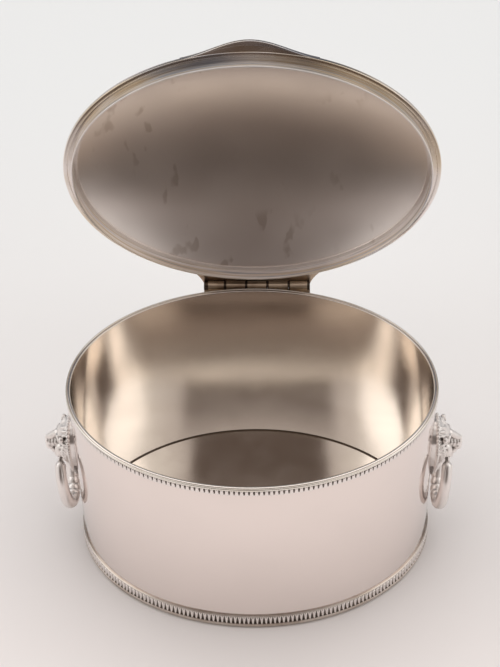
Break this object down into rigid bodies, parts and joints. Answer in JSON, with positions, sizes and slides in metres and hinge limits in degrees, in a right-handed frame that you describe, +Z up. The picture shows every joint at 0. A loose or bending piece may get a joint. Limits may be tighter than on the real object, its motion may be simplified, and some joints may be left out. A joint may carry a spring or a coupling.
{
  "type": "lidded sugar bowl",
  "caption": "Oval silver sugar bowl with straight sides, beaded rim and foot, hinged domed lid and a drop ring hung from a lion mask at each end.",
  "frame": {"origin": "centre of the plane that the foot rests on, midway between the ends and the sides of the oval", "axes": "+X along the oval's long axis, +Y to the hinge at the back, +Z up"},
  "size_m": [0.1732, 0.1371, 0.2072],
  "materials": {
    "polished_silver": "polished silver plate, faint handling marks and light yellow tarnish at the edges",
    "satin_silver": "satin silver inside the lid and the bowl, slightly toned",
    "cast_silver": "polished cast silver with dark oxide left in the hollows",
    "tarnished_silver": "worn silver toned brown and yellow",
    "pin_wire": "dull hard wire"
  },
  "bodies": {
    "bowl": {"wall": "polished_silver", "floor": "satin_silver", "rim_moulding": "polished_silver", "rim_beads": "cast_silver", "foot_moulding": "polished_silver", "foot_beads": "cast_silver", "hinge_bracket": "tarnished_silver", "body_knuckle_left": "tarnished_silver", "body_knuckle_middle": "tarnished_silver", "body_knuckle_right": "tarnished_silver", "hinge_pin": "pin_wire", "right_handle_plate": "cast_silver", "left_handle_plate": "cast_silver", "right_mask": "cast_silver", "left_mask": "cast_silver"},
    "lid": {"lid_dome": "satin_silver", "lid_border": "polished_silver", "lid_bezel": "polished_silver", "lid_step_ring": "satin_silver", "lid_hinge_bracket": "tarnished_silver", "lid_knuckle_left": "tarnished_silver", "lid_knuckle_right": "tarnished_silver", "thumb_piece": "polished_silver"},
    "left_ring": {"left_ring": "cast_silver"},
    "right_ring": {"right_ring": "cast_silver"}
  },
  "joints": [
    {"name": "lid_hinge", "type": "hinge", "parent": "bowl", "child": "lid", "pos_m": [0, 0.0579, 0.0895], "axis": [1, 0, 0], "range_deg": [0, 95]},
    {"name": "left_ring_swing", "type": "hinge", "parent": "bowl", "child": "left_ring", "pos_m": [-0.0806, 0, 0.049], "axis": [0, 1, 0], "range_deg": [-1.5, 95]},
    {"name": "right_ring_swing", "type": "hinge", "parent": "bowl", "child": "right_ring", "pos_m": [0.0806, 0, 0.049], "axis": [0, -1, 0], "range_deg": [-1.5, 95]}
  ]
}
